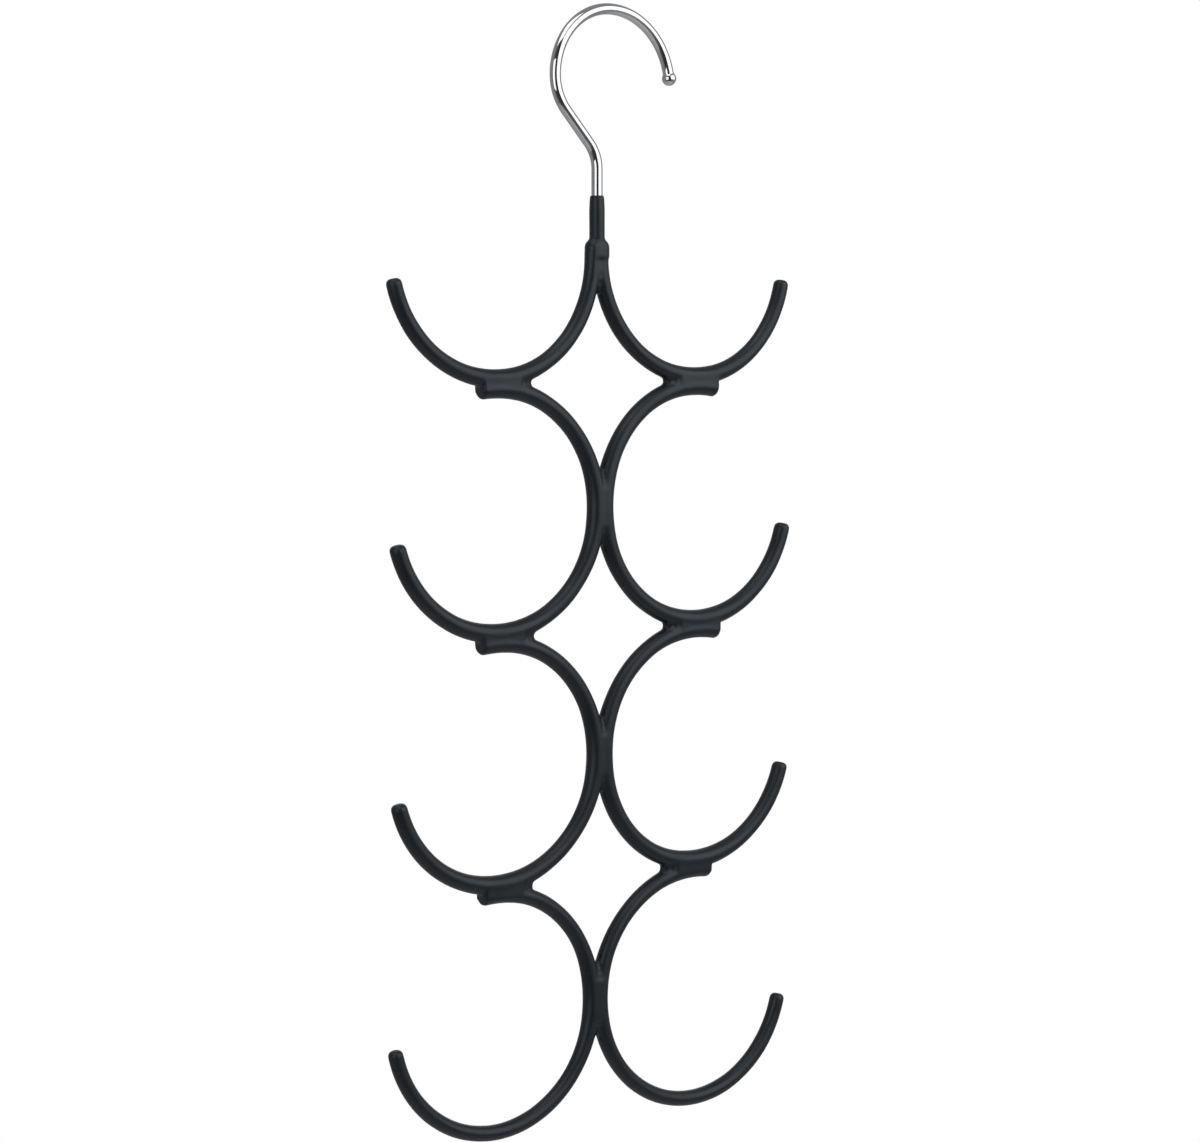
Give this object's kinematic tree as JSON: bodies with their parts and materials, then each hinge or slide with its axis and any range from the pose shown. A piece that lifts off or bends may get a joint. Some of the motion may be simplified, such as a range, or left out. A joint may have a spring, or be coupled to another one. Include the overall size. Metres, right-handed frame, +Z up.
{
  "type": "scarf hanger",
  "caption": "flat scarf hanger of welded wire loops open at the sides, dipped in black soft plastic, on a bent chrome hook",
  "frame": {"origin": "inside of the hook's crown, where the hanger hangs", "axes": "+Z up, +X across the loops, Y through the flat frame with the front at -Y"},
  "size_m": [0.1737, 0.006, 0.3947],
  "materials": {
    "chrome": "bright nickel and chrome plate on steel wire",
    "brushed_steel": "drawn mild steel wire and its welds, bare under the coat",
    "matte_plastic": "dipped soft PVC, satin black"
  },
  "bodies": {
    "root": {"hook_wire": "chrome", "top_wire_left": "brushed_steel", "loop_wire_left_2": "brushed_steel", "loop_wire_left_3": "brushed_steel", "loop_wire_left_4": "brushed_steel", "top_wire_right": "brushed_steel", "loop_wire_right_2": "brushed_steel", "loop_wire_right_3": "brushed_steel", "loop_wire_right_4": "brushed_steel", "neck_weld": "brushed_steel", "centre_weld_2": "brushed_steel", "stub_weld_left_2": "brushed_steel", "stub_weld_right_2": "brushed_steel", "centre_weld_3": "brushed_steel", "stub_weld_left_3": "brushed_steel", "stub_weld_right_3": "brushed_steel", "centre_weld_4": "brushed_steel", "stub_weld_left_4": "brushed_steel", "stub_weld_right_4": "brushed_steel", "dip_coating": "matte_plastic"}
  },
  "joints": []
}
